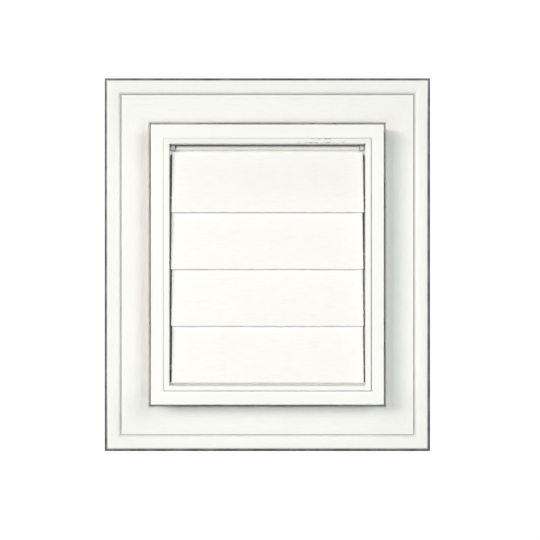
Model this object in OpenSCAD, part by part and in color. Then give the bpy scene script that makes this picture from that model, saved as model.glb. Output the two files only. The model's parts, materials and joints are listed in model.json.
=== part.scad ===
// Louvered exhaust vent for siding, with a clip-on trim ring and a collar for a 4 inch duct.
// Millimetres. X is to the right as the vent is seen, Z is up, and the face looks along -Y.
// The origin is on the wall plane, at the centre of the duct.

/* [Trim ring] */
// Width of the trim ring
ring_w = 178; // [174:1:186]
// Height of the trim ring
ring_h = 204; // [200:1:212]
// Depth of the ring from its back edge to the face of its panel
ring_d = 8.5; // [8:0.25:9]
// Width of the raised bead along the ring's outer edge
bead_w = 9; // [7:0.5:11]
// Height of the bead over the panel
bead_rise = 1.3; // [0.8:0.1:1.6]
// Width of the ring's rails, from its outer edge to its opening
ring_reach = 24.2; // [23:0.2:24.2]
// How far the ring hangs down in its play round the sleeve
ring_sag = 0; // [0:0.1:0.3]
// Notch of the racks that the ring is pushed to, counted from the wall
ring_notch = 3; // [3:1:4]

/* [Mounting base] */
// Width of the raised face frame
frame_w = 125; // [124:0.5:126]
// Height of the raised face frame
frame_h = 150.2; // [149.5:0.5:151.5]
// Distance from the wall to the frame's face
frame_d = 31.5; // [31:0.5:34]
// Width of the nailing flange outside the sleeve
flange_reach = 22; // [20:0.5:23]
// Thickness of the nailing flange
flange_t = 2; // [1.5:0.5:2]
// Length of a nail slot
slot_l = 14; // [10:1:18]
// Width of a nail slot, and diameter of the screw holes at the sides
slot_w = 4.4; // [4:0.2:5]
// Distance between the nail slots, across
slot_pitch_w = 120; // [110:2:124]
// Distance between the nail slots, up and down
slot_pitch_h = 174; // [172:1:176]
// Distance between the side screw holes, across
screw_pitch_w = 148; // [144:1:150]
// Distance between the side screw holes, up and down
screw_pitch_h = 84; // [60:2:100]

/* [Opening and louvers] */
// Width of the opening
opening_w = 105; // [104:0.5:106]
// Height of the opening
opening_h = 129.1; // [129:0.1:130]
// Width of the lip round the opening
lip_w = 2.9; // [2.6:0.1:3]
// Number of louvers
louvers = 4; // [4:1:4]
// Distance between two louver axes
louver_pitch = 30.5; // [30.4:0.1:30.7]
// Distance from a louver's axis to its bottom edge
louver_drop = 33.8; // [33.6:0.1:34]
// Thickness of a louver
louver_t = 1.4; // [1.2:0.1:1.4]
// Lean of the closed louvers, bottom edge forward
louver_lean = 3.5; // [3.4:0.1:4]

/* [Duct collar] */
// Outside diameter of the collar, which goes into a 4 inch duct
collar_dia = 100.6; // [99.6:0.2:100.6]
// Length of the collar behind the wall plane
collar_l = 38; // [30:1:60]

/* [Hidden] */
$fn = 96;

wall_t = 2;
skin_t = 1.8;
cut = 1;

// Snap racks on the sleeve and the hooks that catch in them
rack_start = 4;
rack_pitch = 2.5;
rack_teeth = 5;
tooth_h = 1.5;
tooth_l = 2.2;
rack_w = 10;
hook_h = 2.2;
hook_l = 1.6;
tab_end = 0.45;
rack_at_w = frame_w / 4;
rack_at_h = frame_h / 4;

// Ring, seen in section: forward from its back edge, and inward from its outer edge
ring_open_w = ring_w - 2 * ring_reach;
ring_open_h = ring_h - 2 * ring_reach;
ring_back = rack_start + ring_notch * rack_pitch - hook_l - tab_end;
bead_r = 12;
edge_r = 0.9;
slope_w = 2.2;
slope_r = 3;
groove_h = 1;
panel_edge = 0.3;
rib_t = 1.2;
rib_drop = 2.5;
ribs = 3;
tab_slit = 1.2;
tab_l = 5.6;

// Sleeve and face frame
sleeve_in_w = frame_w - 2 * wall_t;
sleeve_in_h = frame_h - 2 * wall_t;
fit_gap = 0.15;
box_w = opening_w + 2 * skin_t;
box_h = opening_h + 2 * skin_t;
window_w = box_w + 2 * fit_gap;
window_h = box_h + 2 * fit_gap;
lip_t = 1;
lip_edge = 0.35;
frame_edge = 0.6;
locator_t = 1.6;

// Louver, in its own frame: the axis at the origin, closed and upright before it leans
top_axis_z = opening_h / 2 - 2.95;
axis_y = -25;
plate_front = 3.7;
plate_top = 1.2;
plate_side_gap = 0.95;
louver_play = [0.15, -0.15, 0, 0.15];
plate_draft = 0.2;
barrel_r = 2;
barrel_half = 49.3;
barrel_pad = 2.3;
pad_bevel = 0.5;
pad_foot = 0.3;
crease_y = 0.3;
pin_r = 1.25;
pin_reach = 0.1;
corner_r = 1;
back_rib_t = 1;
back_rib_h = 0.8;
back_rib_x = 34;

// Bearing bosses and closing stops on the side walls of the box
boss_reach = 2.7;
boss_h = 5.2;
boss_front = 1.95;
boss_back = 3.4;
bore_r = 1.32;
stop_reach = 3.2;
stop_h = 2;
stop_z = -25.6;
stop_gap = 0.1;
stop_l = 4.2;
stop_finger = 1.8;
stop_set_back = 2.2;
sill_h = 1.3;
sill_t = 1.2;

// Collar
collar_r = collar_dia / 2;
collar_t = 1.8;
collar_gap = 0.1;
collar_flange_r = 52;
collar_flange_t = 1.6;
bead_h = 0.7;
bead_l = 2.4;
duct_stop_y = 6;
flex_slots = 4;
flex_slot_w = 1.6;
lead_l = 3;

white = [0.97, 0.97, 0.94];

// Points along an arc, for the round stretches of an outline. An open arc leaves out its last point,
// where the next stretch starts.
function arc(x, y, r, from, to, steps, open = false) = [
  for (i = [0 : open ? steps - 1 : steps])
    let (turn = from + (to - from) * i / steps)
      [x + r * cos(turn), y + r * sin(turn)]
];

// One rail of a rectangular frame, along X. Its section is drawn in the YZ plane with the
// outer edge at z = 0, and both ends are mitred.
module rail(length, reach) {
  half = length / 2;
  intersection() {
    rotate([90, 0, 90])
      linear_extrude(length, center = true)
        children();
    rotate([90, 0, 0])
      linear_extrude(4 * frame_d, center = true)
        polygon([[-half - cut, cut], [half + cut, cut], [half - reach, -reach], [reach - half, -reach]]);
  }
}

// Four mitred rails round a rectangle of the given outer size
module mitred_frame(width, height, reach) {
  for (turn = [0 : 90 : 270]) {
    across = turn % 180 == 0;
    rotate([0, turn, 0])
      translate([0, 0, (across ? height : width) / 2])
        rail(across ? width : height, reach)
          children();
  }
}

// A box centred on the Y axis, from one depth to another. Depths are distances in front of the wall.
module slab(width, height, from, to) {
  translate([-width / 2, -to, -height / 2])
    cube([width, to - from, height]);
}

// Child 0 on all four sides of a rectangle, two on each side, its back to the side and its middle on X
module two_per_side(width, height, at_w, at_h) {
  for (turn = [0 : 90 : 270]) {
    across = turn % 180 == 0;
    for (side = [-1, 1])
      rotate([0, turn, 0])
        translate([side * (across ? at_w : at_h), 0, (across ? height : width) / 2])
          children();
  }
}

// Trim ring

// Section of the ring: x is forward from the back edge, y inward from the outer edge. The bead's
// crest runs without a break into a slope that gets steeper down to the groove beside the panel.
module ring_outline() {
  crest = ring_d + bead_rise - bead_r;
  foot = bead_w - slope_w;
  middle = foot * 0.56;
  lean = asin((middle - edge_r) / (bead_r - edge_r));
  fall = asin((foot - middle) / bead_r);
  shoulder = crest + (bead_r - edge_r) * cos(lean);
  slope_x = crest + (bead_r - slope_r) * cos(fall);
  slope_y = middle + (bead_r - slope_r) * sin(fall);
  steep = acos((ring_d - groove_h - slope_x) / slope_r);
  difference() {
    polygon(concat(
      [[0, 0]],
      arc(shoulder, edge_r, edge_r, -90, -lean, 5, open = true),
      arc(crest, middle, bead_r, -lean, fall, 10, open = true),
      arc(slope_x, slope_y, slope_r, fall, steep, 6),
      [[ring_d - groove_h, bead_w]],
      arc(ring_d - panel_edge, bead_w + panel_edge, panel_edge, -90, 0, 3),
      arc(ring_d - edge_r, ring_reach - edge_r, edge_r, 0, 90, 5),
      [[0, ring_reach]]
    ));
    translate([-cut, skin_t])
      square([ring_d - groove_h - skin_t + cut, ring_reach - 2 * skin_t]);
  }
}

// The ring's hooks stand towards the sleeve, with their catching face to the front
module ring_hook() {
  rotate([90, 0, 90])
    linear_extrude(rack_w - 1, center = true)
      polygon([[-hook_l, skin_t / 2], [-hook_l, -hook_h], [0, 0], [0, skin_t / 2]]);
}

// Slits on both sides of a hook, which make a springy tab of that stretch of the skirt
module tab_slits() {
  for (side = [-1, 1])
    translate([side * (rack_w + tab_slit) / 2 - tab_slit / 2, -ring_back - tab_l, -cut])
      cube([tab_slit, tab_l + cut, skin_t + 2 * cut]);
}

// Ribs across the ring's hollow back, evenly spaced along each rail
module ring_ribs() {
  for (turn = [0 : 90 : 270]) {
    across = turn % 180 == 0;
    span = across ? frame_w : frame_h;
    rotate([0, turn, 0])
      for (i = [0 : ribs - 1])
        translate([
          (i / (ribs - 1) - 0.5) * span - rib_t / 2,
          -ring_back - ring_d + skin_t / 2,
          (across ? ring_h : ring_w) / 2 - ring_reach + skin_t / 2
        ])
          cube([rib_t, ring_d - rib_drop - skin_t / 2, ring_reach - skin_t]);
  }
}

module trim_ring() {
  color(white)
    translate([0, 0, -ring_sag])
      difference() {
        union() {
          mitred_frame(ring_w, ring_h, ring_reach + cut)
            rotate(180)
              translate([ring_back, 0])
                ring_outline();
          ring_ribs();
          two_per_side(ring_open_w, ring_open_h, rack_at_w, rack_at_h)
            translate([0, -ring_back - tab_end, 0])
              ring_hook();
        }
        two_per_side(ring_open_w, ring_open_h, rack_at_w, rack_at_h)
          tab_slits();
      }
}

// Mounting base

// One saw-toothed rack, its teeth catching towards the wall
module rack() {
  rotate([90, 0, 90])
    linear_extrude(rack_w, center = true)
      for (i = [0 : rack_teeth - 1])
        translate([-rack_start - i * rack_pitch, 0])
          polygon([[0, -cut / 2], [0, tooth_h], [-tooth_l, 0], [-tooth_l, -cut / 2]]);
}

// A slot with round ends, cut through the flange
module nail_slot() {
  rotate([90, 0, 0])
    for (end = [-1, 1])
      translate([end * (slot_l - slot_w) / 2, 0, 0])
        cylinder(h = 3 * flange_t, d = slot_w, center = true);
  cube([slot_l - slot_w, 3 * flange_t, slot_w], center = true);
}

// Nail slots above and below the sleeve, and round screw holes beside it
module fixing_holes() {
  for (x = [-1, 1], z = [-1, 1]) {
    translate([x * slot_pitch_w / 2, 0, z * slot_pitch_h / 2])
      nail_slot();
    translate([x * screw_pitch_w / 2, 0, z * screw_pitch_h / 2])
      rotate([90, 0, 0])
        cylinder(h = 3 * flange_t, d = slot_w, center = true);
  }
}

// Thin upright ribs inside the sleeve that centre the louver box
module locators() {
  reach_w = (sleeve_in_w - box_w) / 2 - fit_gap;
  reach_h = (sleeve_in_h - box_h) / 2 - fit_gap;
  for (turn = [0 : 90 : 270]) {
    across = turn % 180 == 0;
    reach = across ? reach_h : reach_w;
    for (side = [-1, 1])
      rotate([0, turn, 0])
        translate([side * (across ? rack_at_w : rack_at_h) - locator_t / 2, -frame_d + wall_t / 2, 0])
          translate([0, 0, (across ? sleeve_in_h : sleeve_in_w) / 2 - reach])
            cube([locator_t, frame_d - wall_t, reach + wall_t / 2]);
  }
}

// Section of the sleeve with its face frame: x is forward from the wall, y inward from the outer face
module sleeve_outline() {
  frame_reach = (frame_h - window_h) / 2 + cut;
  polygon(concat(
    [[0, 0]],
    arc(frame_d - frame_edge, frame_edge, frame_edge, -90, 0, 4),
    [
      [frame_d, frame_reach], [frame_d - wall_t, frame_reach],
      [frame_d - wall_t, wall_t], [0, wall_t]
    ]
  ));
}

module mounting_base() {
  color(white) {
    difference() {
      union() {
        slab(frame_w + 2 * flange_reach, frame_h + 2 * flange_reach, 0, flange_t);
        mitred_frame(frame_w, frame_h, 2 * wall_t + (frame_h - window_h) / 2)
          rotate(180)
            sleeve_outline();
      }
      slab(sleeve_in_w, sleeve_in_h, -cut, flange_t + cut);
      slab(window_w, window_h, frame_d - 2 * wall_t, frame_d + cut);
      fixing_holes();
    }
    two_per_side(frame_w, frame_h, rack_at_w, rack_at_h)
      rack();
    locators();
  }
}

// Louver housing

// Section of the lip: x is forward, y inward from its outer edge
module lip_outline() {
  polygon(concat(
    [[0, 0]],
    arc(lip_t - lip_edge, lip_edge, lip_edge, -90, 0, 4),
    arc(lip_t - lip_edge, lip_w - lip_edge, lip_edge, 0, 90, 4),
    [[-cut, lip_w], [-cut, lip_w - skin_t], [0, lip_w - skin_t]]
  ));
}

// One bearing boss and one closing stop for each louver, on the right wall. The stop is an arm set
// back out of sight, with a finger that reaches forward to the plate.
module bearings() {
  for (i = [0 : louvers - 1])
    translate([opening_w / 2, axis_y, top_axis_z - i * louver_pitch]) {
      translate([-boss_reach, -boss_front, -boss_h / 2])
        cube([boss_reach + skin_t / 2, boss_front + boss_back, boss_h]);
      translate([-stop_reach, -plate_front + louver_t + stop_gap, stop_z - stop_h / 2])
        translate([0, stop_z * sin(louver_lean), 0]) {
          cube([stop_finger, stop_l, stop_h]);
          translate([0, stop_set_back, 0])
            cube([stop_reach + skin_t / 2, stop_l - stop_set_back, stop_h]);
        }
    }
}

module bearing_bores() {
  for (i = [0 : louvers - 1])
    translate([opening_w / 2 - boss_reach - cut, axis_y, top_axis_z - i * louver_pitch])
      rotate([0, 90, 0])
        cylinder(h = boss_reach + skin_t + 2 * cut, r = bore_r, $fn = 32);
}

// Low rib across the bottom of the opening, just behind the lowest louver's edge
module sill() {
  edge_y = (louver_t - plate_front) * cos(louver_lean) - louver_drop * sin(louver_lean);
  translate([-(opening_w + skin_t) / 2, axis_y + edge_y + stop_gap, -(opening_h + skin_t) / 2])
    cube([opening_w + skin_t, sill_t, sill_h + skin_t / 2]);
}

// Wedge hooks that catch behind the face frame
module box_hook() {
  catch = fit_gap + 0.8;
  translate([0, -frame_d + wall_t, 0])
    rotate([90, 0, 90])
      linear_extrude(8, center = true)
        polygon([[0, -cut / 2], [0, catch], [1, catch], [5, 0], [5, -cut / 2]]);
}

module louver_housing() {
  color(white)
    difference() {
      union() {
        translate([0, -frame_d, 0])
          mitred_frame(opening_w + 2 * lip_w, opening_h + 2 * lip_w, lip_w + cut)
            rotate(180)
              lip_outline();
        difference() {
          slab(box_w, box_h, 0, frame_d);
          slab(opening_w, opening_h, wall_t, frame_d + cut);
        }
        bearings();
        mirror([1, 0, 0])
          bearings();
        sill();
        two_per_side(box_w, box_h, rack_at_w * 0.55, rack_at_h * 0.55)
          box_hook();
      }
      rotate([90, 0, 0])
        cylinder(h = 4 * wall_t, r = collar_r + collar_gap, center = true);
      bearing_bores();
      mirror([1, 0, 0])
        bearing_bores();
    }
}

// Duct collar, turned about the duct's axis. Depths behind the wall are positive.
module collar_outline() {
  inner = collar_r - collar_t;
  polygon([
    [inner, -wall_t - collar_flange_t],
    [collar_flange_r, -wall_t - collar_flange_t],
    [collar_flange_r, -wall_t],
    [collar_r, -wall_t],
    [collar_r, 0],
    [collar_r + bead_h, 0],
    [collar_r, bead_l],
    [collar_r, duct_stop_y],
    [collar_r + 2 * bead_h, duct_stop_y + bead_l],
    [collar_r, duct_stop_y + bead_l],
    [collar_r, collar_l - lead_l],
    [collar_r - collar_t / 2, collar_l],
    [inner, collar_l]
  ]);
}

module duct_collar() {
  color(white)
    difference() {
      rotate([-90, 0, 0])
        rotate_extrude()
          collar_outline();
      for (i = [0 : flex_slots - 1])
        rotate([0, (i + 0.5) * 360 / flex_slots, 0])
          translate([collar_r - collar_t - cut, -wall_t, -flex_slot_w / 2])
            cube([collar_t + bead_h + 2 * cut, wall_t + bead_l, flex_slot_w]);
    }
}

// Louver

// Section across the louver, in the YZ plane: plate, hinge barrel and the web between them. The
// barrel has a flat pad on its front, and a crease parts the pad from the plate's top edge.
module louver_section() {
  back = louver_t - plate_front;
  difference() {
    union() {
      circle(r = barrel_r, $fn = 48);
      polygon([
        [-barrel_r, 0], [-barrel_r, barrel_pad - pad_bevel], [pad_bevel - barrel_r, barrel_pad],
        [0, barrel_pad], [barrel_r / 2, 0]
      ]);
    }
    translate([-barrel_r - cut, -plate_top])
      square([barrel_r + cut - crease_y, plate_top + pad_foot]);
  }
  polygon([
    [-plate_front, -plate_top], [-plate_front, -louver_drop], [back, -louver_drop],
    [back, -plate_top - 4], [-0.4, -1.7], [-1.2, -plate_top]
  ]);
}

module louver() {
  half = opening_w / 2 - plate_side_gap;
  rotate([-louver_lean, 0, 0]) {
    rotate([90, 0, 90])
      linear_extrude(2 * barrel_half, center = true)
        louver_section();
    translate([0, -plate_front, 0])
      rotate([-90, 0, 0])
        linear_extrude(louver_t)
          mirror([0, 1])
            polygon(concat(
              [[-half, -louver_drop], [half, -louver_drop]],
              arc(half - plate_draft - corner_r, -plate_top - corner_r, corner_r, 0, 90, 5),
              arc(corner_r + plate_draft - half, -plate_top - corner_r, corner_r, 90, 180, 5)
            ));
    for (x = [-1, 0, 1])
      translate([x * back_rib_x - back_rib_t / 2, louver_t - plate_front - 0.2, 4.6 - louver_drop])
        cube([back_rib_t, back_rib_h + 0.2, louver_drop - 4.6 - plate_top - 2]);
    for (side = [-1, 1])
      rotate([0, side * 90, 0])
        translate([0, 0, barrel_half])
          cylinder(h = opening_w / 2 + pin_reach - barrel_half, r = pin_r, $fn = 48);
  }
}

// The louver of this number, counted from the top. Each has slid a little sideways in its play.
module place_louver(number) {
  color(white)
    translate([louver_play[number - 1], axis_y, top_axis_z - (number - 1) * louver_pitch])
      louver();
}

trim_ring();
mounting_base();
louver_housing();
duct_collar();
place_louver(1);  // louver_1
place_louver(2);  // louver_2
place_louver(3);  // louver_3
place_louver(4);  // louver_4
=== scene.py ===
"""Looks of a louvered exhaust vent for siding: white moulded vinyl with an embossed wood grain."""

import json
import logging
import math
from dataclasses import dataclass, field
from enum import Enum
from typing import Callable, Iterable, Sequence, Union

import bmesh
import bpy
from mathutils import Matrix, Vector, noise


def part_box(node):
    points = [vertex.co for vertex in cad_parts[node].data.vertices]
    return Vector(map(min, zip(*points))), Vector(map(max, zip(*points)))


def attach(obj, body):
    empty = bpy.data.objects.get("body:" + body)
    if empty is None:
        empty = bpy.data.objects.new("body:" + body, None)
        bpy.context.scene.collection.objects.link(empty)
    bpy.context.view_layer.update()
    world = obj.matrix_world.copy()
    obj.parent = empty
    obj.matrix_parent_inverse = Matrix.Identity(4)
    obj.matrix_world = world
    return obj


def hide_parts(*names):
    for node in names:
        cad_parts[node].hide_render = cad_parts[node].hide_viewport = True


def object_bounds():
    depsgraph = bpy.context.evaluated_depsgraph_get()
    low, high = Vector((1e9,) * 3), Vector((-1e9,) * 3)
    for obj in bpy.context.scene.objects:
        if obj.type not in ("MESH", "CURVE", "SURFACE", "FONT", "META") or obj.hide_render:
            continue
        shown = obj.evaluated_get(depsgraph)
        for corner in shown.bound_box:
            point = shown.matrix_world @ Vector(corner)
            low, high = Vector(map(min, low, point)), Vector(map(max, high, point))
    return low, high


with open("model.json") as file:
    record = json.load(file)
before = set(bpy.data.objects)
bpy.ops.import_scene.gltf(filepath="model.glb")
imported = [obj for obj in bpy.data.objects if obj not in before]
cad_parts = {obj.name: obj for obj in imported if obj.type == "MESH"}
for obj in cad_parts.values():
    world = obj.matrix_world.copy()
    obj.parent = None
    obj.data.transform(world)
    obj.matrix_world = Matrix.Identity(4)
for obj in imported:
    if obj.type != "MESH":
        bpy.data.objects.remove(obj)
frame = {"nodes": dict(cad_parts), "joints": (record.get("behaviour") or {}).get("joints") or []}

CAD_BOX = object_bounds()
MM = 0.001

log = logging.getLogger("vent")

Point = tuple[float, float, float]
Pair = tuple[float, float]


class Grain(Enum):
    """Which way the embossed wood grain runs on a piece."""

    NONE = "none"
    ACROSS = "across"
    MITRED = "mitred"


class Value:
    """A shader socket. Python's operators on it add Math nodes."""

    def __init__(self, recipe: "Recipe", socket: bpy.types.NodeSocket) -> None:
        """Wraps a socket of a recipe.

        Args:
            recipe: The recipe whose tree holds the socket.
            socket: The output socket that is wrapped.
        """
        self.recipe = recipe
        self.socket = socket

    def math(self, operation: str, *others: "Number") -> "Value":
        """Adds one Math node on this value.

        Args:
            operation: Blender's name of the operation.
            others: The node's other operands.

        Returns:
            The node's result.
        """
        return self.recipe.math(operation, self, *others)

    def __add__(self, other: "Number") -> "Value":
        """Adds."""
        return self.math("ADD", other)

    def __radd__(self, other: "Number") -> "Value":
        """Adds, with this value on the right."""
        return self.recipe.math("ADD", other, self)

    def __sub__(self, other: "Number") -> "Value":
        """Subtracts."""
        return self.math("SUBTRACT", other)

    def __rsub__(self, other: "Number") -> "Value":
        """Subtracts this value from another."""
        return self.recipe.math("SUBTRACT", other, self)

    def __mul__(self, other: "Number") -> "Value":
        """Multiplies."""
        return self.math("MULTIPLY", other)

    def __rmul__(self, other: "Number") -> "Value":
        """Multiplies, with this value on the right."""
        return self.recipe.math("MULTIPLY", other, self)

    def __truediv__(self, other: "Number") -> "Value":
        """Divides."""
        return self.math("DIVIDE", other)

    def __abs__(self) -> "Value":
        """Takes the absolute value."""
        return self.math("ABSOLUTE")

    def above(self, edge: "Number") -> "Value":
        """1 where the value is above the edge, and 0 elsewhere."""
        return self.math("GREATER_THAN", edge)

    def band(self, low: float, high: float) -> "Value":
        """Rises smoothly from 0 at low to 1 at high, or falls where high is the smaller."""
        made = self.recipe.node(
            "ShaderNodeMapRange",
            {"interpolation_type": "SMOOTHSTEP"},
            {"Value": self, "From Min": low, "From Max": high},
        )
        return self.recipe.out(made, "Result")


Number = Union[Value, float]


class Recipe:
    """One material's node tree, and the few ways in which nodes are added to it."""

    def __init__(self, name: str) -> None:
        """Makes an empty material.

        Args:
            name: The material's name.
        """
        self.material = bpy.data.materials.new(name)
        self.material.use_nodes = True
        self.tree = self.material.node_tree
        self.tree.nodes.clear()

    def node(
        self, kind: str, settings: dict[str, object] | None = None, inputs: dict[str, object] | None = None
    ) -> bpy.types.Node:
        """Adds a node.

        Args:
            kind: Blender's name of the node type.
            settings: Its settings. A ramp's stops are a list of (place, colour) pairs under "stops".
            inputs: What goes into its sockets, by name or number: a Value, a socket or a plain value.

        Returns:
            The new node.
        """
        made = self.tree.nodes.new(kind)
        for key, setting in (settings or {}).items():
            if key == "stops":
                self._set_stops(made, setting)
            else:
                setattr(made, key, setting)
        for key, given in (inputs or {}).items():
            socket = made.inputs[key]
            if isinstance(given, Value):
                self.tree.links.new(given.socket, socket)
            elif isinstance(given, bpy.types.NodeSocket):
                self.tree.links.new(given, socket)
            else:
                socket.default_value = given
        return made

    @staticmethod
    def _set_stops(ramp: bpy.types.Node, stops: Sequence[tuple[float, Sequence[float]]]) -> None:
        """Sets a ramp's stops from (place, colour) pairs."""
        elements = ramp.color_ramp.elements
        while len(elements) < len(stops):
            elements.new(1.0)
        for element, (place, colour) in zip(elements, stops):
            element.position = place
            element.color = (*colour, 1.0)

    def out(self, node: bpy.types.Node, name: str | int = 0) -> Value:
        """Wraps one output of a node."""
        return Value(self, node.outputs[name])

    def math(self, operation: str, *operands: Number) -> Value:
        """Adds a Math node.

        Args:
            operation: Blender's name of the operation.
            operands: Values or plain numbers, in the node's order.

        Returns:
            The result.
        """
        return self.out(self.node("ShaderNodeMath", {"operation": operation}, dict(enumerate(operands))))

    def place(self) -> tuple[Value, Value, Value]:
        """The surface point's x, y and z in metres, which ride with the piece."""
        where = self.node("ShaderNodeTexCoord")
        split = self.node("ShaderNodeSeparateXYZ", inputs={0: where.outputs["Object"]})
        return self.out(split, 0), self.out(split, 1), self.out(split, 2)

    def noise(self, x: Number, y: Number, z: Number, detail: float, roughness: float = 0.5) -> Value:
        """Fractal noise from 0 to 1 at a point whose unit is one feature.

        Args:
            x: First coordinate, in features.
            y: Second coordinate.
            z: Third coordinate.
            detail: Number of finer octaves.
            roughness: How strong the finer octaves are.

        Returns:
            The noise.
        """
        point = self.node("ShaderNodeCombineXYZ", inputs={0: x, 1: y, 2: z})
        made = self.node(
            "ShaderNodeTexNoise",
            inputs={"Vector": point.outputs[0], "Scale": 1.0, "Detail": detail, "Roughness": roughness},
        )
        return self.out(made, 0)

    def blend(self, amount: Number, first: object, second: object) -> Value:
        """Mixes two colours.

        Args:
            amount: 0 gives the first and 1 the second.
            first: A colour or a value that carries one.
            second: Likewise.

        Returns:
            The mixed colour.
        """
        made = self.node("ShaderNodeMix", {"data_type": "RGBA"}, {0: amount, 6: first, 7: second})
        return self.out(made, 2)


@dataclass(frozen=True)
class Scuff:
    """A streak of dirt in a scratch, along X.

    Attributes:
        left: Where the streak starts, in metres.
        right: Where it ends.
        height: Its Z.
        reach: How far it spreads up and down.
        strength: How dark it gets, up to 1.
    """

    left: float
    right: float
    height: float
    reach: float
    strength: float


@dataclass(frozen=True)
class Vinyl:
    """Moulded vinyl with its embossed grain, pores, faint mottling, scuff marks and painted shade.

    Attributes:
        name: Name of the material.
        colour: Linear colour of clean vinyl.
        grain: Which way the grain runs.
        grain_depth: Depth of the fine grain in metres.
        roughness: Roughness of the plain surface.
        scuffs: Dirt streaks on it.
        edge_shade: Width of the painted shade line on the ring's outer edge.
        lip_shade: Width of the painted shadow line on the frame beside the louver housing's lip.
        sill_shade: How dark the painted shade at the sill's foot and on the lip's top edge is, up to 1.
        top_shade: How much painted shade darkens the top of the vent, where less light reaches.
        top_shade_span: Heights between which the painted shade sets in.
        top_shade_end: Heights between which the painted shade ends.
        top_shade_slant: How much stronger the painted shade is for each metre to the right.
    """

    name: str
    colour: Point = (0.907, 0.904, 0.878)
    grain: Grain = Grain.NONE
    grain_depth: float = 0.00006
    roughness: float = 0.42
    scuffs: tuple[Scuff, ...] = ()
    edge_shade: float = 0.0
    lip_shade: float = 0.0
    sill_shade: float = 0.0
    # Painted shade: the top of the vent darkened where less light reaches it, stronger to the right where a slant
    # is set.
    top_shade: float = 0.024
    top_shade_span: Pair = (50 * MM, 68 * MM)
    top_shade_end: Pair = (103 * MM, 102 * MM)
    top_shade_slant: float = 0.0

    streak_length = 14 * MM
    streak_width = 0.9 * MM
    pore_length = 7 * MM
    pore_width = 0.7 * MM
    mottle_size = 22 * MM
    mould_texture = 0.7 * MM
    dirt_colour = (0.16, 0.15, 0.13, 1.0)
    # Colour of the painted shade line along the ring's outer edge.
    edge_shade_colour = (0.07, 0.07, 0.067, 1.0)
    # Colour of the painted shade in the groove beside the bead.
    groove_shade_colour = (0.36, 0.375, 0.36, 1.0)
    # Colour of the painted shade beside the lip and in the housing's recesses.
    crease_shade_colour = (0.2, 0.205, 0.2, 1.0)
    lip_edge = (55.4 * MM, 67.45 * MM)
    lip_width = 2.9 * MM
    # How dark the painted shade round the top bosses is.
    boss_shade = 0.85
    # Colour of the painted shade at the top of the vent and of the painted shadow beside the frame.
    painted_shade_colour = (0.02, 0.02, 0.02, 1.0)

    def material(self) -> bpy.types.Material:
        """Builds the material."""
        recipe = Recipe(self.name)
        x, y, z = recipe.place()
        along, across = self._grain_axes(x, z)
        mottle = recipe.noise(x / self.mottle_size, y / self.mottle_size, z / self.mottle_size, 3.0)
        fine = recipe.noise(x / self.mould_texture, y / self.mould_texture, z / self.mould_texture, 2.0)
        if self.grain is Grain.NONE:
            relief = fine * 0.11
            pores = None
        else:
            streaks = recipe.noise(
                along / self.streak_length, across / self.streak_width, y / self.mottle_size, 4.0, 0.62
            )
            pores = recipe.noise(
                along / self.pore_length, across / self.pore_width, 7.0, 1.0
            ).band(0.50, 0.66)
            relief = streaks + fine * 0.05 - pores * 0.35
        shade = mottle.band(0.3, 0.7) * 0.5
        if pores is not None:
            shade = shade + pores * 0.75
        darker = tuple(c * f for c, f in zip(self.colour, (0.965, 0.967, 0.968))) + (1.0,)
        colour = recipe.blend(shade * 0.8, (*self.colour, 1.0), darker)
        # Painted shade: the top of the vent darkened where less light reaches it.
        top_shade = z.band(*self.top_shade_span) * z.band(*self.top_shade_end) * (x * self.top_shade_slant + 1.0) * self.top_shade
        colour = recipe.blend(top_shade, colour, self.painted_shade_colour)
        for scuff in self.scuffs:
            colour = recipe.blend(self._scuff_mask(recipe, scuff, x, z), colour, self.dirt_colour)
        # Painted shade on the ring: a dark line along its outer edge, shade in the groove beside the bead, and
        # shadow around the frame.
        if self.edge_shade:
            edge, groove, frame_shade = self._ring_shade(recipe, x, y, z)
            colour = recipe.blend(frame_shade, colour, self.painted_shade_colour)
            colour = recipe.blend(groove, colour, self.groove_shade_colour)
            colour = recipe.blend(edge, colour, self.edge_shade_colour)
        # Painted shadow: a dark line on the frame where the lip's step shades it.
        if self.lip_shade:
            colour = recipe.blend(self._lip_shadow_line(recipe, x, z), colour, self.crease_shade_colour)
        # Painted shade in the housing's recesses: the sill's foot, the top lip edge and round the bosses.
        if self.sill_shade:
            colour = recipe.blend(self._housing_shade(recipe, x, y, z), colour, self.crease_shade_colour)
        bump = recipe.node(
            "ShaderNodeBump", inputs={"Strength": 1.0, "Distance": self.grain_depth, "Height": relief}
        )
        shader = recipe.node(
            "ShaderNodeBsdfPrincipled",
            inputs={
                "Base Color": colour,
                "Roughness": (mottle - 0.5) * 0.12 + self.roughness,
                "IOR": 1.46,
                "Normal": bump.outputs[0],
            },
        )
        recipe.node("ShaderNodeOutputMaterial", inputs={0: shader.outputs[0]})
        return recipe.material

    def _grain_axes(self, x: Value, z: Value) -> tuple[Value, Value]:
        """The coordinates along and across the grain.

        Args:
            x: The surface point's x.
            z: Its z.

        Returns:
            The coordinate along the grain and the one across it.
        """
        if self.grain is not Grain.MITRED:
            return x, z
        low, high = CAD_BOX
        longer = ((high.z - low.z) - (high.x - low.x)) / 2
        level = (abs(z) - longer).above(abs(x))
        return x * level + z * (1.0 - level), z * level + x * (1.0 - level)

    def _scuff_mask(self, recipe: Recipe, scuff: Scuff, x: Value, z: Value) -> Value:
        """How much dirt lies in a scuff, from 0 to its strength."""
        soft = 1.5 * MM
        inside = x.band(scuff.left - soft, scuff.left + soft) * x.band(scuff.right + soft, scuff.right - soft)
        near = abs(z - scuff.height).band(scuff.reach, 0.25 * scuff.reach)
        broken = recipe.noise(x / (2.2 * MM), z / (0.5 * MM), scuff.height * 1000, 3.0).band(0.46, 0.62)
        return inside * near * broken * scuff.strength

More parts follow.
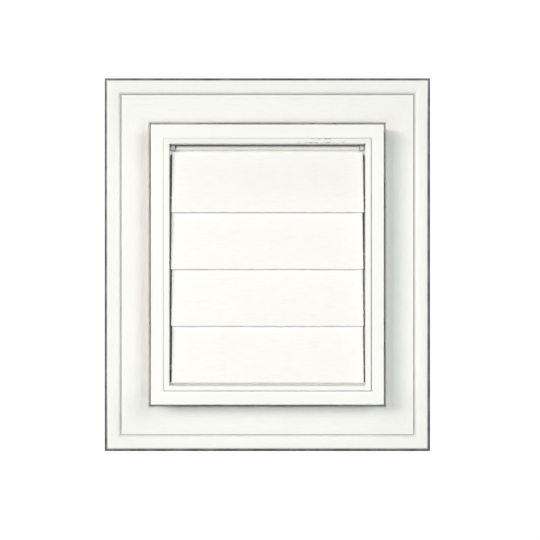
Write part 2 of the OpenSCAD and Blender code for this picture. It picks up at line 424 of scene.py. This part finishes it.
    def _lip_shadow_line(self, recipe: Recipe, x: Value, z: Value) -> Value:
        """How much painted shadow lies on the frame beside the lip, most of it at the right and at the bottom."""
        outward = (abs(x) - self.lip_edge[0]).math("MAXIMUM", abs(z) - self.lip_edge[1])
        line = outward.band(self.lip_shade, 0.6 * self.lip_shade) * outward.band(-0.3 * MM, -0.1 * MM)
        uneven = recipe.noise(x / (7 * MM), z / (7 * MM), 0.0, 2.0)
        heavier = (x - z) / (130 * MM) * 0.3 + 0.55
        return line * heavier * (uneven * 0.5 + 0.75)

    def _housing_shade(self, recipe: Recipe, x: Value, y: Value, z: Value) -> Value:
        """How much shade is painted on the louver housing.

        It is painted in the recesses: at the sill's foot, on the lip's edges above and below the louvers, and
        round the top bosses.
        """
        low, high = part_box("louver_housing")
        from_wall = (high.x - low.x) / 2 - self.lip_width - abs(x)
        from_lip = z - low.z - self.lip_width
        from_top = high.z - z - self.lip_width
        # Painted shade: the sill's foot, beside and under the top bosses, and the lip's top edge.
        foot = from_lip.band(-0.5 * MM, -0.4 * MM) * from_lip.band(0.6 * MM, 0.2 * MM) * self.sill_shade
        beside = from_wall.band(0.8 * MM, 0.5 * MM) * from_top.band(3.7 * MM, 3.3 * MM)
        under = from_wall.band(3.4 * MM, 3.2 * MM) * from_top.band(2.5 * MM, 2.8 * MM) * from_top.band(3.7 * MM, 3.3 * MM)
        boss = beside.math("MAXIMUM", under) * from_top.above(0.0) * self.boss_shade
        edge = from_top.band(-0.3 * MM, -0.15 * MM) * from_top.band(0.1 * MM, 0.0) * self.sill_shade
        uneven = recipe.noise(x / (9 * MM), y / (9 * MM), 0.0, 2.0)
        return (foot + edge + boss) * from_wall.above(0.0) * (uneven * 0.4 + 0.8)

    def _ring_shade(self, recipe: Recipe, x: Value, y: Value, z: Value) -> tuple[Value, Value, Value]:
        """Where shade is painted on the ring.

        Args:
            recipe: The material's tree.
            x: The surface point's x.
            y: Its y.
            z: Its z.

        Returns:
            How much painted shade lies on the outer edge, in the groove beside the bead, and above and below the
            frame.
        """
        low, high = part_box("trim_ring")
        from_side = (high.x - low.x) / 2 - abs(x - (high.x + low.x) / 2)
        from_end = (high.z - low.z) / 2 - abs(z - (high.z + low.z) / 2)
        inward = from_side.math("MINIMUM", from_end)
        uneven = recipe.noise(x / (9 * MM), y / (9 * MM), z / (9 * MM), 2.0)
        on_face = y.band(low.y + 2.6 * MM, low.y + 1.4 * MM)
        thicker = (x - z).band(-30 * MM, 30 * MM) * 0.2 + 1.0
        # Painted shade: a dark line along the front of the outer edge, broader at the right and bottom.
        edge = (inward / thicker).band(self.edge_shade, 0.5 * self.edge_shade) * on_face * (uneven * 0.4 + 0.76)
        # Painted shade in the groove beside the bead, weaker along the bottom rail.
        groove = inward.band(7.4 * MM, 9.0 * MM) * inward.band(9.5 * MM, 8.95 * MM)
        groove = groove * (uneven * 0.3 + 0.35) * (1.0 - z.band(-90 * MM, -95 * MM) * 0.5)
        # Painted shadow: a band on the panel just above and below the frame, and shade over the bottom rail that
        # deepens towards the frame.
        shadow_below = z.band(-62 * MM, -80 * MM) * inward.band(0.0, 24 * MM) * 0.045
        frame_shade = from_end.band(20.8 * MM, 24.4 * MM) * from_side.above(from_end) * 0.06 + shadow_below
        return edge, groove, frame_shade


@dataclass
class Finishes:
    """The vinyl of each piece, made once and shared."""

    ring: bpy.types.Material = field(init=False)
    base: bpy.types.Material = field(init=False)
    housing: bpy.types.Material = field(init=False)
    collar: bpy.types.Material = field(init=False)
    louver: bpy.types.Material = field(init=False)

    def __post_init__(self) -> None:
        """Makes the materials."""
        lip_marks = (
            Scuff(24 * MM, 34 * MM, 67.2 * MM, 0.5 * MM, 0.8),
            Scuff(16 * MM, 41 * MM, 65.2 * MM, 0.5 * MM, 0.85),
        )
        # The ring gets painted shade: a line along its outer edge, in the groove and beside the frame.
        self.ring = Vinyl("ring_vinyl", grain=Grain.MITRED, edge_shade=1.75 * MM).material()
        # Base, housing and louver vinyl is lighter than the ring's and collar's: painted light, standing in for
        # the fuller light on the frame's face and the louvers.
        self.base = Vinyl("base_vinyl", (0.955, 0.953, 0.925), roughness=0.38, lip_shade=0.6 * MM).material()
        self.housing = Vinyl(
            "housing_vinyl",
            (0.958, 0.958, 0.932),
            roughness=0.38,
            scuffs=lip_marks,
            # Painted shade in the housing's recesses.
            sill_shade=0.33,
            # Painted shade: the top of the housing's opening and lip darkened.
            top_shade=0.085,
            top_shade_span=(60 * MM, 66 * MM),
        ).material()
        self.collar = Vinyl("collar_vinyl", roughness=0.45).material()
        self.louver = Vinyl(
            "louver_vinyl",
            (0.962, 0.947, 0.921),
            grain=Grain.ACROSS,
            # Painted shade: the louvers darkened towards their tops and to the right, where the lip above shades
            # them.
            top_shade=0.046,
            top_shade_span=(24 * MM, 50 * MM),
            top_shade_end=(61.6 * MM, 60.8 * MM),
            top_shade_slant=6.5,
        ).material()


def grain_height(along: float, across: float, seed: float) -> float:
    """Height of the coarse embossed grain, from about -1 to 1.

    Args:
        along: Place along the grain in metres.
        across: Place across it.
        seed: Chooses another stretch of the same grain.

    Returns:
        The height.
    """
    sway = noise.noise(Vector((along / (45 * MM), across / (14 * MM), seed))) * 2.2
    streak = noise.noise(Vector((along / (26 * MM), across / (1.7 * MM) + sway, seed + 3.1)))
    finer = noise.noise(Vector((along / (13 * MM), across / (0.8 * MM) + sway, seed + 8.7)))
    return 0.7 * streak + 0.45 * finer


def arc(centre: Pair, radius: float, start: float, end: float, steps: int) -> list[Pair]:
    """Points along an arc, both ends included.

    Args:
        centre: The arc's centre.
        radius: Its radius.
        start: Angle of the first point, in degrees.
        end: Angle of the last point.
        steps: Number of equal steps between them.

    Returns:
        The points.
    """
    angles = [math.radians(start + (end - start) * i / steps) for i in range(steps + 1)]
    return [(centre[0] + radius * math.cos(a), centre[1] + radius * math.sin(a)) for a in angles]


class Builder:
    """Collects closed shells into one mesh object."""

    def __init__(self, name: str) -> None:
        """Starts an empty mesh.

        Args:
            name: Name of the piece.
        """
        self.name = name
        self.mesh = bmesh.new()

    def grid_loops(self, loops: Sequence[Sequence[Vector]], cap: bool) -> None:
        """Skins a row of closed loops of equal length.

        Args:
            loops: The loops, each a ring of points.
            cap: True closes both ends with a face, and False joins the last loop to the first.
        """
        rings = [[self.mesh.verts.new(p) for p in loop] for loop in loops]
        pairs = list(zip(rings, rings[1:]))
        if not cap:
            pairs.append((rings[-1], rings[0]))
        for one, two in pairs:
            for i in range(len(one)):
                j = (i + 1) % len(one)
                self.mesh.faces.new((one[i], one[j], two[j], two[i]))
        if cap:
            self.mesh.faces.new(list(reversed(rings[0])))
            self.mesh.faces.new(rings[-1])

    def block(self, low: Point, high: Point, turn: Matrix | None = None) -> None:
        """Adds a box with its edges softened.

        Args:
            low: Its lowest corner.
            high: Its highest corner.
            turn: A transform for it, or None.
        """
        sizes = [b - a for a, b in zip(low, high)]
        middle = Vector([(a + b) / 2 for a, b in zip(low, high)])
        made = bmesh.ops.create_cube(self.mesh, size=1.0, matrix=Matrix.Translation(middle) @ Matrix.Diagonal((*sizes, 1.0)))
        verts = made["verts"]
        edges = list({e for v in verts for e in v.link_edges})
        soft = bmesh.ops.bevel(
            self.mesh, geom=edges, offset=min(0.2 * MM, min(sizes) / 4), segments=2, affect="EDGES", profile=0.5
        )
        if turn is not None:
            corners = {v for f in soft["faces"] for v in f.verts}
            bmesh.ops.transform(self.mesh, matrix=turn, verts=list(corners))

    def finish(self, material: bpy.types.Material, smooth_angle: float = 32.0) -> bpy.types.Object:
        """Makes the object.

        Args:
            material: Its finish.
            smooth_angle: Edges sharper than this, in degrees, stay sharp.

        Returns:
            The object, linked to the scene.
        """
        bmesh.ops.recalc_face_normals(self.mesh, faces=self.mesh.faces)
        data = bpy.data.meshes.new(self.name)
        self.mesh.to_mesh(data)
        self.mesh.free()
        made = bpy.data.objects.new(self.name, data)
        bpy.context.scene.collection.objects.link(made)
        data.materials.append(material)
        shade(data, smooth_angle)
        return made


def shade(data: bpy.types.Mesh, angle: float) -> None:
    """Shades a mesh smoothly, apart from its edges sharper than an angle in degrees."""
    data.shade_smooth()
    data.set_sharp_from_angle(angle=math.radians(angle))


@dataclass
class TrimRing:
    """The clip-on ring: bead, groove and grained panel, hollow and ribbed behind."""

    depth: float = 8.5 * MM
    bead_width: float = 9 * MM
    bead_rise: float = 1.3 * MM
    reach: float = 24.2 * MM
    bead_radius: float = 12 * MM
    edge_radius: float = 0.9 * MM
    slope: float = 2.2 * MM
    slope_radius: float = 3 * MM
    groove_depth: float = 1 * MM
    panel_edge: float = 0.3 * MM
    skin: float = 1.8 * MM
    rib: float = 1.2 * MM
    rib_drop: float = 2.5 * MM
    ribs: int = 3
    rib_span: Pair = (125 * MM, 150.2 * MM)
    tab: float = 10 * MM
    tab_slit: float = 1.2 * MM
    tab_depth: float = 5.6 * MM
    tab_end: float = 0.45 * MM
    hook: float = 2.2 * MM
    hook_length: float = 1.6 * MM
    grain_step: float = 1.6 * MM
    grain_pitch: float = 0.45 * MM
    grain_relief: float = 0.045 * MM

    def __post_init__(self) -> None:
        """Takes the ring's place from the frame."""
        low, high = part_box("trim_ring")
        self.back = -high.y
        self.size = (high.x - low.x, high.z - low.z)
        self.middle = (low.z + high.z) / 2

    def section(self) -> list[Pair]:
        """The ring's section: forward from its back edge, and inward from its outer edge."""
        crest = self.depth + self.bead_rise - self.bead_radius
        foot = self.bead_width - self.slope
        middle = foot * 0.56
        lean = math.asin((middle - self.edge_radius) / (self.bead_radius - self.edge_radius))
        fall = math.asin((foot - middle) / self.bead_radius)
        shoulder = crest + (self.bead_radius - self.edge_radius) * math.cos(lean)
        floor = self.depth - self.groove_depth
        drawn_in = self.bead_radius - self.slope_radius
        slope = (crest + drawn_in * math.cos(fall), middle + drawn_in * math.sin(fall))
        steep = math.degrees(math.acos((floor - slope[0]) / self.slope_radius))
        lean, fall = math.degrees(lean), math.degrees(fall)
        panel_start, panel_end = self.bead_width + self.panel_edge, self.reach - self.edge_radius
        rows = round((panel_end - panel_start) / self.grain_pitch)
        panel = [
            (self.depth, panel_start + (panel_end - panel_start) * i / rows) for i in range(1, rows)
        ]
        ceiling = floor - self.skin
        return [
            (0.0, 0.0),
            (shoulder * 0.5, 0.0),
            *arc((shoulder, self.edge_radius), self.edge_radius, -90, -lean, 6)[:-1],
            *arc((crest, middle), self.bead_radius, -lean, fall, 14)[:-1],
            *arc(slope, self.slope_radius, fall, steep, 8),
            (floor, self.bead_width),
            *arc((self.depth - self.panel_edge, panel_start), self.panel_edge, -90, 0, 4),
            *panel,
            *arc((self.depth - self.edge_radius, panel_end), self.edge_radius, 0, 90, 6),
            (0.2 * MM, self.reach),
            (0.0, self.reach - 0.2 * MM),
            (0.0, self.reach - self.skin + 0.2 * MM),
            (0.2 * MM, self.reach - self.skin),
            (ceiling, self.reach - self.skin),
            (ceiling, self.skin),
            (0.2 * MM, self.skin),
            (0.0, self.skin - 0.2 * MM),
        ]

    def rail_stations(self, half: float) -> list[float]:
        """Places along a rail, from -1 to 1, at which the section repeats."""
        count = max(2, round(2 * half / self.grain_step))
        return [-1 + 2 * i / count for i in range(count)]

    def sweep(self, builder: Builder) -> None:
        """Runs the section round the rectangle, with the grain raised on the bead and the panel."""
        half_w, half_h = self.size[0] / 2, self.size[1] / 2
        section = self.section()
        loops = []
        for turn in range(4):
            across = turn % 2 == 0
            half = half_w if across else half_h
            side = half_h if across else half_w
            spin = Matrix.Rotation(math.radians(90 * turn), 3, "Y")
            for t in self.rail_stations(half):
                loop = []
                for forward, inward in section:
                    along = t * (half - inward)
                    lift = self.relief(forward, inward, along, turn)
                    local = Vector((along, -(self.back + forward + lift), side - inward))
                    loop.append(spin @ local + Vector((0, 0, self.middle)))
                loops.append(loop)
        builder.grid_loops(loops, cap=False)

    def relief(self, forward: float, inward: float, along: float, turn: int) -> float:
        """How far the embossed grain lifts a point of the front.

        Args:
            forward: The point's distance from the ring's back edge.
            inward: Its distance from the outer edge.
            along: Its place along the rail.
            turn: The rail's number.

        Returns:
            The lift in metres.
        """
        on_panel = forward >= self.depth - 1e-6 and inward > self.bead_width + self.panel_edge
        on_bead = forward > self.depth and inward <= self.bead_width
        if not (on_panel or on_bead):
            return 0.0
        amount = self.grain_relief if on_panel else 0.4 * self.grain_relief
        return amount * (grain_height(along, inward, 5.0 * turn) - 1.0)

    def back_details(self, builder: Builder) -> None:
        """Adds the ribs in the hollow back and the hooks on the tabs."""
        ceiling = self.depth - self.groove_depth - self.skin
        for turn in range(4):
            across = turn % 2 == 0
            side = self.size[1 if across else 0] / 2
            span = self.rib_span[0 if across else 1]
            spin = Matrix.Translation((0, 0, self.middle)) @ Matrix.Rotation(math.radians(90 * turn), 4, "Y")
            for i in range(self.ribs):
                x = (i / (self.ribs - 1) - 0.5) * span
                builder.block(
                    (x - self.rib / 2, -(self.back + ceiling + self.skin / 2), side - self.reach + self.skin / 2),
                    (x + self.rib / 2, -(self.back + self.rib_drop), side - self.skin / 2),
                    spin,
                )
            for x in (-span / 4, span / 4):
                self.hook_on(builder, x, side - self.reach, spin)

    def hook_on(self, builder: Builder, x: float, inner: float, spin: Matrix) -> None:
        """Adds one wedge hook on a tab.

        Args:
            builder: The ring's mesh.
            x: The hook's place along the rail.
            inner: The rail's inner face.
            spin: The rail's turn.
        """
        heel = self.back + self.tab_end
        wedge = [
            (-heel - self.hook_length, inner + self.skin / 2),
            (-heel - self.hook_length, inner - self.hook),
            (-heel, inner),
            (-heel, inner + self.skin / 2),
        ]
        half = (self.tab - 1 * MM) / 2
        builder.grid_loops([[spin @ Vector((x + s, y, z)) for y, z in wedge] for s in (-half, half)], cap=True)

    def slit_cutter(self) -> bpy.types.Object:
        """The blocks that cut the slits beside each tab."""
        cutter = Builder("tab_slits")
        for turn in range(4):
            across = turn % 2 == 0
            side = self.size[1 if across else 0] / 2
            span = self.rib_span[0 if across else 1]
            spin = Matrix.Translation((0, 0, self.middle)) @ Matrix.Rotation(math.radians(90 * turn), 4, "Y")
            for x in (-span / 4, span / 4):
                for s in (-1, 1):
                    at = x + s * (self.tab + self.tab_slit) / 2
                    cutter.block(
                        (at - self.tab_slit / 2, -(self.back + self.tab_depth), side - self.reach - 1 * MM),
                        (at + self.tab_slit / 2, -self.back + 1 * MM, side - self.reach + self.skin + 1 * MM),
                        spin,
                    )
        return cutter.finish(bpy.data.materials.new("cutter"))

    def build(self, finishes: Finishes) -> bpy.types.Object:
        """Builds the ring.

        Args:
            finishes: The materials.

        Returns:
            The ring, which replaces its CAD node.
        """
        builder = Builder("trim_ring_shell")
        self.sweep(builder)
        ring = builder.finish(finishes.ring)
        cut_out(ring, self.slit_cutter())
        details = Builder("trim_ring_details")
        self.back_details(details)
        join(ring, details.finish(finishes.ring))
        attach(ring, "vent_body")
        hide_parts("trim_ring")
        return ring


def cut_out(piece: bpy.types.Object, cutter: bpy.types.Object) -> None:
    """Takes a cutter's solids out of a piece, and deletes the cutter."""
    modifier = piece.modifiers.new("cut", "BOOLEAN")
    modifier.operation = "DIFFERENCE"
    modifier.solver = "EXACT"
    modifier.object = cutter
    settle(piece)
    bpy.data.objects.remove(cutter)


def settle(piece: bpy.types.Object) -> None:
    """Applies a piece's modifiers to its mesh."""
    graph = bpy.context.evaluated_depsgraph_get()
    graph.update()
    made = bpy.data.meshes.new_from_object(piece.evaluated_get(graph))
    piece.modifiers.clear()
    old = piece.data
    piece.data = made
    made.name = old.name
    bpy.data.meshes.remove(old)


def join(piece: bpy.types.Object, other: bpy.types.Object) -> None:
    """Adds another object's mesh to a piece, and deletes that object."""
    both = bmesh.new()
    both.from_mesh(piece.data)
    both.from_mesh(other.data)
    both.to_mesh(piece.data)
    both.free()
    bpy.data.objects.remove(other)


@dataclass
class Louver:
    """One gravity louver: grained plate, hinge barrel, pins and back ribs."""

    number: int
    drop: float = 33.8 * MM
    thickness: float = 1.4 * MM
    lean: float = 3.5
    front: float = 3.7 * MM
    top: float = 1.2 * MM
    half_width: float = 51.55 * MM
    draft: float = 0.2 * MM
    corner: float = 1.0 * MM
    edge: float = 0.3 * MM
    barrel: float = 2 * MM
    barrel_half: float = 49.3 * MM
    pad: float = 2.3 * MM
    pad_bevel: float = 0.5 * MM
    pad_foot: float = 0.3 * MM
    crease: float = 0.3 * MM
    pin: float = 1.25 * MM
    pin_half: float = 52.6 * MM
    rib_place: float = 34 * MM
    rib_width: float = 1 * MM
    rib_height: float = 0.8 * MM
    grain_relief: float = 0.05 * MM
    columns: int = 64
    rows: int = 76

    def __post_init__(self) -> None:
        """Takes the louver's axis from the joint."""
        joint = next(j for j in frame["joints"] if j["name"] == f"louver_{self.number}_hinge")
        self.body = joint["child"]
        low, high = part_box(f"louver_{self.number}")
        axis = Vector(((low.x + high.x) / 2, joint["pos_m"][1], joint["pos_m"][2]))
        self.place = Matrix.Translation(axis) @ Matrix.Rotation(math.radians(-self.lean), 4, "X")

    def outline(self, u: float, v: float, inset: float) -> Pair:
        """A point of the plate's outline or face.

        Args:
            u: From -1 at the left edge to 1 at the right.
            v: From 0 at the bottom edge to 1 at the top.
            inset: Distance that the outline is drawn in.

        Returns:
            The point's x and z.
        """
        z = -self.drop + inset + v * (self.drop - self.top - 2 * inset)
        half = self.half_width - inset - self.draft * v
        x = u * half
        radius = self.corner
        over_x, over_z = abs(x) - (half - radius), z - (-self.top - inset - radius)
        if over_x > 0 and over_z > 0:
            pull = max(over_x, over_z) / math.hypot(over_x, over_z)
            x = math.copysign(half - radius + over_x * pull, x)
            z = -self.top - inset - radius + over_z * pull
        return x, z

    def plate(self, builder: Builder) -> None:
        """Adds the plate, its front raised with grain and its edges rounded."""
        mesh = builder.mesh
        us = [-1 + 2 * i / self.columns for i in range(self.columns + 1)]
        vs = [j / self.rows for j in range(self.rows + 1)]
        seed = 11.0 * self.number
        front: dict[tuple[int, int], bmesh.types.BMVert] = {}
        back: dict[tuple[int, int], bmesh.types.BMVert] = {}
        for i, u in enumerate(us):
            for j, v in enumerate(vs):
                x, z = self.outline(u, v, self.edge)
                lift = self.grain_relief * (grain_height(x, z, seed) - 1.0)
                front[i, j] = mesh.verts.new((x, -self.front - lift, z))
                back[i, j] = mesh.verts.new((x, -self.front + self.thickness, z))
        for i in range(self.columns):
            for j in range(self.rows):
                mesh.faces.new((front[i, j], front[i + 1, j], front[i + 1, j + 1], front[i, j + 1]))
                mesh.faces.new((back[i, j], back[i, j + 1], back[i + 1, j + 1], back[i + 1, j]))
        rim = [(i, 0) for i in range(self.columns)]
        rim += [(self.columns, j) for j in range(self.rows)]
        rim += [(i, self.rows) for i in range(self.columns, 0, -1)]
        rim += [(0, j) for j in range(self.rows, 0, -1)]
        rounding = [
            (self.edge * (1 - math.sin(a)), self.edge * (1 - math.cos(a)))
            for a in (math.radians(30), math.radians(60), math.radians(90))
        ]
        depths = [(inset, -self.front + deep) for inset, deep in rounding]
        depths += [(inset, -self.front + self.thickness - deep) for inset, deep in reversed(rounding)]
        loops = [[front[key] for key in rim]]
        for inset, y in depths:
            ring = []
            for i, j in rim:
                x, z = self.outline(us[i], vs[j], inset)
                ragged = self.grain_relief * grain_height(x, z, seed + 40.0)
                ring.append(mesh.verts.new((x, y, z + (ragged if j == 0 else 0.0))))
            loops.append(ring)
        loops.append([back[key] for key in rim])
        for one, two in zip(loops, loops[1:]):
            for i in range(len(one)):
                k = (i + 1) % len(one)
                mesh.faces.new((one[i], one[k], two[k], two[i]))

    def barrel_and_web(self, builder: Builder) -> None:
        """Adds the hinge barrel with its pad, crease and web, and the pins."""
        back = self.thickness - self.front
        soft = 0.12 * MM
        section = [
            (-self.crease, -self.top - 0.1 * MM),
            (-self.crease, self.pad_foot - soft),
            (-self.crease - soft, self.pad_foot),
            (soft - self.barrel, self.pad_foot),
            (-self.barrel, self.pad_foot + soft),
            (-self.barrel, self.pad - self.pad_bevel - soft),
            (0.6 * soft - self.barrel, self.pad - self.pad_bevel + 0.6 * soft),
            (self.pad_bevel - self.barrel - 0.6 * soft, self.pad - 0.6 * soft),
            (self.pad_bevel - self.barrel + soft, self.pad),
            (-soft, self.pad),
            (0.5 * soft, self.pad - 1.3 * soft),
            *arc((0.0, 0.0), self.barrel, 86, -100, 18),
            (-0.4 * MM, -1.9 * MM),
            (back - 0.2 * MM, -self.top - 4 * MM),
            (back - 0.2 * MM, -self.top - 0.1 * MM),
        ]
        builder.grid_loops(
            [[Vector((x, y, z)) for y, z in section] for x in (-self.barrel_half, self.barrel_half)], cap=True
        )
        for side in (-1, 1):
            stations = [
                (self.barrel_half - 0.02 * MM, self.pin),
                (self.pin_half - 0.3 * MM, self.pin),
                (self.pin_half, self.pin - 0.3 * MM),
            ]
            turned = [
                [Vector((side * x, y, z)) for y, z in arc((0.0, 0.0), r, 0, 345, 23)] for x, r in stations
            ]
            builder.grid_loops(turned, cap=True)

    def build(self, finishes: Finishes) -> bpy.types.Object:
        """Builds the louver.

        Args:
            finishes: The materials.

        Returns:
            The louver, which replaces its CAD node.
        """
        builder = Builder(f"louver_{self.number}_moulding")
        self.plate(builder)
        self.barrel_and_web(builder)
        back = self.thickness - self.front
        for x in (-self.rib_place, 0.0, self.rib_place):
            builder.block(
                (x - self.rib_width / 2, back - 0.2 * MM, 4.6 * MM - self.drop),
                (x + self.rib_width / 2, back + self.rib_height, -self.top - 2 * MM),
            )
        bmesh.ops.transform(builder.mesh, matrix=self.place, verts=builder.mesh.verts)
        louver = builder.finish(finishes.louver)
        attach(louver, self.body)
        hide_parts(f"louver_{self.number}")
        return louver


@dataclass
class SoftenedNode:
    """A fixed moulding whose CAD surface is kept, with its edges softened as a mould leaves them.

    Attributes:
        node: The CAD node.
        piece: Name of the piece that stands for it.
        slot: The record's material slot; not used.
        radius: Radius of the softened edges.
    """

    node: str
    piece: str
    slot: str
    radius: float = 0.25 * MM

    def build(self, material: bpy.types.Material) -> bpy.types.Object:
        """Builds the piece.

        Args:
            material: Its finish.

        Returns:
            The piece, which replaces its CAD node.
        """
        mesh = bmesh.new()
        mesh.from_mesh(frame["nodes"][self.node].data)
        bmesh.ops.remove_doubles(mesh, verts=mesh.verts, dist=1e-6)
        bmesh.ops.dissolve_limit(
            mesh, angle_limit=math.radians(0.5), verts=mesh.verts, edges=mesh.edges, use_dissolve_boundaries=False
        )
        data = bpy.data.meshes.new(self.piece)
        mesh.to_mesh(data)
        mesh.free()
        made = bpy.data.objects.new(self.piece, data)
        bpy.context.scene.collection.objects.link(made)
        data.materials.clear()
        data.materials.append(material)
        bevel = made.modifiers.new("soft edges", "BEVEL")
        bevel.width = self.radius
        bevel.segments = 2
        bevel.limit_method = "ANGLE"
        bevel.angle_limit = math.radians(38)
        settle(made)
        shade(made.data, 32)
        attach(made, "vent_body")
        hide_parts(self.node)
        return made


@dataclass
class SoftBox:
    """One soft studio light, aimed at the vent.

    Attributes:
        name: Its name.
        side: Angle from straight ahead of the vent, in degrees, positive to the right.
        rise: Angle above the horizon.
        distance: Distance from the vent.
        width: Width of the light.
        height: Height of the light.
        power: Its power in watts.
        colour: Its colour.
    """

    name: str
    side: float
    rise: float
    distance: float
    width: float
    height: float
    power: float
    colour: Point = (1.0, 1.0, 1.0)

    def build(self) -> None:
        """Makes the light."""
        data = bpy.data.lights.new(self.name, "AREA")
        data.shape = "RECTANGLE"
        data.size = self.width
        data.size_y = self.height
        data.energy = self.power
        data.color = self.colour
        lamp = bpy.data.objects.new(self.name, data)
        side, rise = math.radians(self.side), math.radians(self.rise)
        towards = Vector((math.sin(side) * math.cos(rise), -math.cos(side) * math.cos(rise), math.sin(rise)))
        lamp.location = towards * self.distance
        lamp.rotation_euler = towards.to_track_quat("Z", "Y").to_euler()
        bpy.context.scene.collection.objects.link(lamp)


@dataclass
class Studio:
    """The pale surroundings: soft lights, a pale floor and a white ground behind the vent."""

    floor_drop: float = 0.35
    floor_inner: float = 0.3
    floor_outer: float = 0.78
    floor_glow: float = 0.5
    ambient: float = 0.03

    lights: tuple[SoftBox, ...] = (
        SoftBox("left_main", -42, 14, 1.9, 0.47, 0.47, 13.9, (1.00, 0.94, 0.96)),
        SoftBox("left_high", -28, 21, 1.9, 0.47, 0.94, 7.32, (1.00, 0.94, 0.75)),
        SoftBox("left_low", -28, -21, 1.9, 0.47, 0.94, 5.95, (0.79, 0.95, 1.00)),
        SoftBox("right_main", 35, 19, 1.9, 0.94, 0.85, 12.65, (0.97, 1.00, 0.99)),
        SoftBox("right_low", 28, -14, 1.9, 0.47, 0.47, 5.73, (0.99, 0.99, 1.00)),
        SoftBox("overhead", 180, 72, 1.3, 1.4, 0.75, 4.0, (0.93, 0.97, 1.0)),
        SoftBox("behind", 212, 24, 1.9, 0.9, 0.9, 5.5, (1.00, 0.99, 0.97)),
    )

    def build(self) -> None:
        """Makes the lights, the floor and the world."""
        for light in self.lights:
            light.build()
        self.world()
        self.floor()
        bpy.context.scene.view_settings.view_transform = "Standard"

    def world(self) -> None:
        """Makes a world that is white behind the vent and gives little light of its own."""
        world = bpy.data.worlds.new("studio")
        bpy.context.scene.world = world
        world.use_nodes = True
        tree = world.node_tree
        tree.nodes.clear()
        rays = tree.nodes.new("ShaderNodeLightPath")
        seen = tree.nodes.new("ShaderNodeBackground")
        seen.inputs["Color"].default_value = (1.0, 1.0, 1.0, 1.0)
        seen.inputs["Strength"].default_value = 1.05
        light = tree.nodes.new("ShaderNodeBackground")
        light.inputs["Color"].default_value = (0.75, 0.92, 1.0, 1.0)
        light.inputs["Strength"].default_value = self.ambient
        either = tree.nodes.new("ShaderNodeMixShader")
        out = tree.nodes.new("ShaderNodeOutputWorld")
        tree.links.new(rays.outputs["Is Camera Ray"], either.inputs[0])
        tree.links.new(light.outputs[0], either.inputs[1])
        tree.links.new(seen.outputs[0], either.inputs[2])
        tree.links.new(either.outputs[0], out.inputs[0])

    def floor(self) -> None:
        """Makes a round pale floor that fades out at its edge."""
        mesh = bmesh.new()
        bmesh.ops.create_circle(
            mesh, cap_ends=True, radius=self.floor_outer, segments=96, matrix=Matrix.Translation((0, 0, -self.floor_drop))
        )
        data = bpy.data.meshes.new("floor")
        mesh.to_mesh(data)
        mesh.free()
        floor = bpy.data.objects.new("floor", data)
        bpy.context.scene.collection.objects.link(floor)
        recipe = Recipe("pale_floor")
        x, y, _ = recipe.place()
        away = recipe.math("SQRT", x * x + y * y)
        lit = recipe.node("ShaderNodeBsdfDiffuse", inputs={0: (0.82, 0.82, 0.81, 1.0)})
        glow = recipe.node("ShaderNodeEmission", inputs={0: (1.0, 1.0, 0.99, 1.0)})
        rays = recipe.node("ShaderNodeLightPath")
        seen = recipe.out(rays, "Is Camera Ray") * self.floor_glow
        pale = recipe.node("ShaderNodeMixShader", inputs={0: seen, 1: lit.outputs[0], 2: glow.outputs[0]})
        clear = recipe.node("ShaderNodeBsdfTransparent")
        either = recipe.node(
            "ShaderNodeMixShader",
            inputs={0: away.band(self.floor_inner, self.floor_outer), 1: pale.outputs[0], 2: clear.outputs[0]},
        )
        recipe.node("ShaderNodeOutputMaterial", inputs={0: either.outputs[0]})
        data.materials.append(recipe.material)


@dataclass
class PhotoCamera:
    """The photograph's camera: straight in front, a little right of and below the vent's middle."""

    sensor: float = 36.0
    frame_pixels: float = 540.0
    pixels_per_metre: float = 1827.0
    distance: float = 0.62
    right: float = 1.42 * MM
    below: float = 2.9 * MM

    def build(self) -> None:
        """Makes the camera and sets it as the scene's."""
        low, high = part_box("trim_ring")
        panel = low.y + 1.3 * MM
        data = bpy.data.cameras.new("camera")
        data.sensor_width = self.sensor
        data.lens = self.sensor * self.distance * self.pixels_per_metre / self.frame_pixels
        camera = bpy.data.objects.new("camera", data)
        camera.location = (self.right, panel - self.distance, (low.z + high.z) / 2 - self.below)
        camera.rotation_euler = (math.radians(90), 0, 0)
        bpy.context.scene.collection.objects.link(camera)
        bpy.context.scene.camera = camera


def main() -> None:
    """Builds every piece, its finish, the studio and the camera."""
    logging.basicConfig(level=logging.INFO, format="%(name)s: %(message)s")
    finishes = Finishes()
    ring = TrimRing().build(finishes)
    log.info("%s: %d faces", ring.name, len(ring.data.polygons))
    for number in range(1, 5):
        louver = Louver(number).build(finishes)
        log.info("%s: %d faces", louver.name, len(louver.data.polygons))
    softened = (
        (SoftenedNode("mounting_base", "mounting_base_moulding", "base_vinyl"), finishes.base),
        (SoftenedNode("louver_housing", "louver_housing_moulding", "housing_vinyl"), finishes.housing),
        (SoftenedNode("duct_collar", "duct_collar_moulding", "collar_vinyl"), finishes.collar),
    )
    for node, finish in softened:
        piece = node.build(finish)
        log.info("%s: %d faces", piece.name, len(piece.data.polygons))
    Studio().build()
    PhotoCamera().build()


if __name__ == "__main__":
    main()
